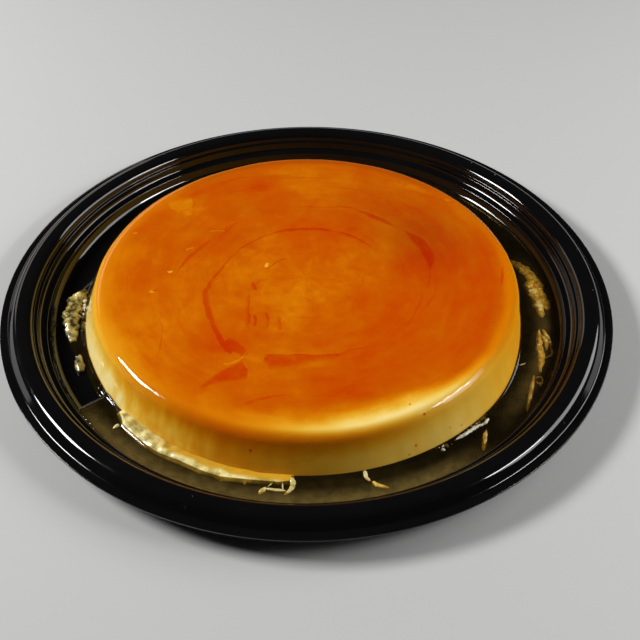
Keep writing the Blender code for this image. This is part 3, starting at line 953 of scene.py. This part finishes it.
# %% The two lumps on the left
left_lump = skin("torn_lump_left", torn(
    [(173.5, 115.5, 3.0), (178, 118.4, 3.4), (184, 119.6, 3.2), (192.5, 118.6, 2.6)],
    [3.0, 4.6, 3.8, 4.2, 3.4], [1.8, 2.3, 1.9, 2.2, 1.5], count=120, around=36, lump=0.42, lump_size=2.6,
    seed=41), lump_curd)
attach(left_lump, "root")
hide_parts("curd_left")

small_lump = skin("torn_lump_left_small", torn(
    [(197.0, 116.4, 1.8), (200.0, 117.8, 2.2), (203.2, 118.4, 2.2)],
    [1.2, 2.4, 2.8], [1.0, 1.7, 2.0], count=60, around=24, lump=0.16, lump_size=3.0, seed=43), lump_curd)
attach(small_lump, "root")
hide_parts("curd_left_small")


# %% Shreds, one list for each kind: stations, half width and half height
def make_shreds(name, shreds, material, count=48, around=14, lump=0.22, lump_size=1.6, seed=50):
    """Many lumpy tubes of one kind, joined into one piece."""
    tubes = [torn(stations, width, height, count, around, lump, lump_size, seed + 2 * i)
             for i, (stations, width, height) in enumerate(shreds)]
    piece = skin(name, np.stack(tubes), material)
    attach(piece, "root")
    return piece


make_shreds("pale_shreds", [
    ([(-93.6, 113.6, 3.6), (-93.2, 116.5, 3.0), (-93.6, 119.5, 2.8), (-94.8, 122.4, 2.4)], [1.3, 1.3, 0.9, 1.2], [1.0, 0.7]),
    ([(-94.6, 120.4, 2.9), (-97.0, 120.3, 3.0), (-99.0, 120.0, 2.9)], [0.6, 0.8, 0.6], [0.5]),
    ([(-98.8, 119.4, 2.9), (-99.4, 121.3, 2.7), (-100.0, 123.2, 2.3)], [1.0, 1.3, 0.9], [0.7]),
    ([(-95.4, 115.2, 3.4), (-95.4, 117.6, 3.0), (-95.2, 119.8, 2.9)], [0.4], [0.4]),
    ([(-97.4, 115.6, 3.3), (-97.8, 117.4, 3.0), (-98.6, 119.2, 2.8)], [0.4, 0.3], [0.4]),
    ([(-77.2, 112.8, 3.6), (-77.4, 115.6, 3.0), (-76.8, 118.4, 2.7)], [1.3, 0.8, 1.0], [0.8, 0.6]),
    ([(-108.6, 117.2, 3.2), (-108.2, 119.0, 2.6), (-108.6, 120.6, 2.3)], [1.1, 0.7, 0.4], [0.8, 0.5]),
    ([(-136.6, 118.5, 3.4), (-136.8, 120.3, 2.9), (-136.9, 122.0, 2.4)], [1.2, 0.9, 0.4], [0.8, 0.5]),
    ([(-103.0, 116.6, 2.8), (-103.4, 118.4, 2.4), (-103.4, 119.4, 2.2)], [0.8, 0.5], [0.5]),
    ([(-24.2, 112.0, 2.8), (-23.6, 113.4, 3.0), (-22.8, 114.8, 3.0)], [0.6, 0.4, 0.2], [0.4, 0.3]),
], wet_curd, seed=50)

make_shreds("orange_shreds", [
    ([(-76.4, 118.6, 2.7), (-75.6, 121.0, 2.6), (-73.6, 123.8, 2.4)], [0.9, 1.2, 0.8], [0.7]),
    ([(-25.8, 120.5, 2.5), (-31.4, 123.1, 2.4), (-36.7, 126.6, 2.3)], [1.0, 1.3, 0.9], [0.9]),
    ([(-46.6, 118.2, 2.5), (-49.0, 121.6, 2.4), (-51.5, 126.0, 2.2)], [1.0, 1.4, 0.9], [0.9]),
], amber_shred, seed=80)

make_shreds("sunk_shreds", [
    ([(-10.0, 118.2, 2.2), (-15.0, 118.6, 2.0), (-19.0, 120.8, 2.0), (-24.0, 122.6, 2.0)], [1.2, 2.0, 1.6], [1.0]),
    ([(-9.8, 120.0, 2.3), (-12.6, 122.6, 2.4), (-15.2, 124.8, 2.3)], [1.0, 1.2, 0.8], [0.8]),
    ([(-11.6, 118.6, 2.4), (-13.6, 121.8, 2.3), (-16.6, 122.8, 2.1)], [0.9, 1.2, 0.8], [0.8]),
    ([(-15.2, 124.2, 2.2), (-17.6, 125.6, 2.2), (-19.2, 123.4, 2.1)], [0.7], [0.6]),
    ([(-26.3, 121.4, 2.3), (-25.6, 123.8, 2.4), (-26.7, 125.3, 2.4), (-28.4, 125.2, 2.3)], [0.4, 0.5], [0.4]),
    ([(-27.2, 122.6, 2.3), (-27.8, 124.0, 2.4), (-27.0, 125.0, 2.3)], [0.4], [0.4]),
], sunk_curd, lump=0.35, seed=90)

make_shreds("foam_strip", [
    ([(-54.6, 113.9, 2.9), (-51.5, 114.3, 3.4), (-48.6, 114.6, 3.5), (-46.4, 115.0, 3.0)], [0.5, 0.9, 1.0, 0.5], [0.6, 0.8]),
    ([(-47.2, 115.3, 3.0), (-45.4, 115.6, 3.2), (-43.8, 115.4, 2.9)], [0.6, 0.9, 0.5], [0.6]),
    ([(-59.0, 115.2, 2.9), (-58.5, 115.4, 3.2), (-58.0, 115.8, 2.9)], [0.5, 0.7, 0.4], [0.6]),
], white_froth, lump=0.50, lump_size=1.2, seed=140)

# %% The clump sunk at the right: lobes laid side by side
make_shreds("sunk_clump", [
    ([(17.2, 115.2, 1.7), (13.4, 118.0, 1.7), (9.6, 119.6, 1.7)], [1.8, 3.0, 2.2], [1.0, 1.2]),
    ([(13.8, 121.0, 1.6), (10.2, 120.4, 1.8), (6.6, 118.6, 1.8)], [2.2, 3.0, 2.4], [1.1]),
    ([(10.6, 121.8, 1.7), (6.4, 122.4, 1.8), (2.6, 121.2, 1.8)], [2.0, 2.6, 2.2], [1.1]),
    ([(8.0, 117.0, 1.8), (3.8, 117.8, 1.9), (0.2, 119.4, 1.8)], [2.2, 3.2, 2.4], [1.2]),
    ([(4.6, 121.8, 1.7), (0.8, 122.8, 1.8), (-2.6, 124.2, 1.7)], [2.2, 3.0, 2.2], [1.1]),
    ([(2.4, 118.6, 1.8), (-1.4, 119.4, 1.9), (-5.4, 119.8, 1.7)], [2.4, 3.0, 2.0], [1.2]),
], sunk_curd, count=60, around=24, lump=0.34, lump_size=2.6, seed=110)


# %% Froth: little beads of custard where the foot bubbled
def scattered_beads(name, middles, spread_mm, sizes, count, material, seed):
    """Small uneven balls thrown round the middles, each squashed and sitting on what is below."""
    random = np.random.default_rng(seed)
    pick = random.integers(0, len(middles), count)
    centres = np.array(middles, float)[pick] + random.normal(0.0, 1.0, (count, 3)) * spread_mm
    size = random.uniform(*sizes, (count, 1, 1))
    tilt = np.linspace(0.16, np.pi - 0.16, 9)[:, None]
    turn = np.linspace(0.0, 2.0 * np.pi, 12, endpoint=False)
    ball = np.stack([np.sin(tilt) * np.cos(turn), np.sin(tilt) * np.sin(turn), np.cos(tilt) + 0.0 * turn], axis=-1)
    stretch = random.uniform(0.7, 1.3, (count, 1, 1, 3))
    rings = polar(centres[:, 1], centres[:, 0], centres[:, 2])[:, None, None] + ball * size[..., None] * stretch
    rings[..., 2] = np.maximum(rings[..., 2], FLOOR_TOP - UNDER)
    piece = skin(name, rings, material)
    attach(piece, "root")
    return piece


froth = scattered_beads("foot_froth", [(-52, 113.4, 2.9), (-50, 113.6, 3.1), (-48, 113.5, 2.9), (-46, 113.3, 2.6),
                                       (-44, 113.0, 2.5), (-57.5, 113.8, 2.6)],
                        (1.0, 0.45, 0.30), (0.22, 0.62), 80, white_froth, seed=7)
crumbs = scattered_beads("left_crumbs", [(177.5, 113.8, 2.4), (180.5, 113.6, 2.6), (183.0, 113.2, 2.2), (186.5, 113.8, 1.8)],
                         (1.0, 1.0, 0.4), (0.4, 1.2), 40, white_froth, seed=8)

# %% [markdown]
# ## Droplets
#
# Steam and splashes left small beads of water on the crown and the ribs. Each is a low dome,
# and all of them are one piece.


# %% Droplets on the rim
def make_droplets(count, seed):
    """Domes: at a share s of the way out, the height falls as 1 - s^2."""
    random = np.random.default_rng(seed)
    radius = random.choice([130.5, 135.8, 141.6, 143.2, 146.6, 150.8], (count, 1, 1)) + random.normal(0, 0.7, (count, 1, 1))
    azimuth = random.uniform(-180.0, 180.0, (count, 1, 1))
    size = random.uniform(0.25, 0.75, (count, 1, 1)) ** 1.4
    share = np.linspace(0.12, 1.0, 6)[:, None]
    turn = np.linspace(0.0, 2.0 * np.pi, 14, endpoint=False)
    out = radius + size * share * np.cos(turn)
    side = azimuth + np.degrees(size * share * np.sin(turn) / radius)
    lift = 0.55 * size * (1.0 - share ** 2) - 0.30
    rings = polar(out, side, tray_height(out) + lift)
    piece = skin("rim_droplets", rings, clear_drop)
    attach(piece, "root")
    return piece


make_droplets(46, seed=5)

# %% [markdown]
# ## Studio
#
# A plain pale floor, a camera that looks down at the dish from the front, and two soft boxes high
# on the left and on the right. Side light is what makes black ribs readable: each rib catches one
# thin line of it, and the front of the flan falls into shade.

# %% Floor
floor_mesh = bpy.data.meshes.new("studio_floor")
floor_mesh.from_pydata([(-4, -4, -0.0002), (4, -4, -0.0002), (4, 4, -0.0002), (-4, 4, -0.0002)], [], [(0, 1, 2, 3)])
floor = bpy.data.objects.new("studio_floor", floor_mesh)
bpy.context.scene.collection.objects.link(floor)
floor_material, _, floor_shader, _ = new_material("pale_floor", (0.7, 0.7, 0.69))
floor_shader.inputs["Base Color"].default_value = (0.48, 0.48, 0.475, 1.0)
floor_shader.inputs["Roughness"].default_value = 0.9
floor_mesh.materials.append(floor_material)

# %% Camera
CAMERA_HEIGHT_ANGLE = 42.05
CAMERA_DISTANCE = 550.0
CAMERA_ROLL = -0.64
AIM_HEIGHT = 2.7
LENS_MM = 60.13

tilt = math.radians(CAMERA_HEIGHT_ANGLE)
camera = bpy.data.objects.new("camera", bpy.data.cameras.new("camera"))
camera.location = (0.0, -CAMERA_DISTANCE * math.cos(tilt) * MM, (AIM_HEIGHT + CAMERA_DISTANCE * math.sin(tilt)) * MM)
look_down = Matrix.Rotation(math.pi / 2 - tilt, 3, 'X')
camera.rotation_euler = (look_down @ Matrix.Rotation(math.radians(CAMERA_ROLL), 3, 'Z')).to_euler()
camera.data.lens = LENS_MM
camera.data.sensor_width = 36.0
camera.data.shift_x = 0.0217
camera.data.shift_y = -0.0242
camera.data.clip_start = 0.01
bpy.context.scene.collection.objects.link(camera)
bpy.context.scene.camera = camera


# %% Lights
def soft_box(name, azimuth, height_angle, distance, width, length, glow, colour=(1.0, 1.0, 1.0)):
    """A square lamp aimed at the dish. glow is its brightness, so its power is glow x pi x area."""
    lamp = bpy.data.lights.new(name, 'AREA')
    lamp.shape = 'RECTANGLE'
    lamp.size, lamp.size_y = width, length
    lamp.energy = glow * math.pi * width * length
    lamp.color = colour
    box = bpy.data.objects.new(name, lamp)
    lift, turn = math.radians(height_angle), math.radians(azimuth)
    box.location = (distance * math.cos(lift) * math.cos(turn), distance * math.cos(lift) * math.sin(turn),
                    distance * math.sin(lift))
    box.rotation_euler = box.location.to_track_quat('Z', 'Y').to_euler()
    bpy.context.scene.collection.objects.link(box)
    print(f"{name}: {lamp.energy:.1f} W")


soft_box("soft_box_left", 173.0, 38.0, 1.30, 0.46, 0.28, 48.0)
soft_box("soft_box_right", 5.0, 32.0, 0.95, 0.94, 0.36, 5.0)
soft_box("soft_box_right_middle", -15.0, 38.0, 0.95, 0.34, 0.07, 32.0)
soft_box("soft_box_back_left", 124.0, 20.0, 1.30, 0.80, 0.36, 1.2, (1.0, 0.93, 0.86))

world = bpy.data.worlds.new("studio_air")
world.use_nodes = True
world.node_tree.nodes["Background"].inputs["Color"].default_value = (1.0, 1.0, 1.0, 1.0)
world.node_tree.nodes["Background"].inputs["Strength"].default_value = 0.012
bpy.context.scene.world = world
bpy.context.scene.view_settings.view_transform = 'Standard'
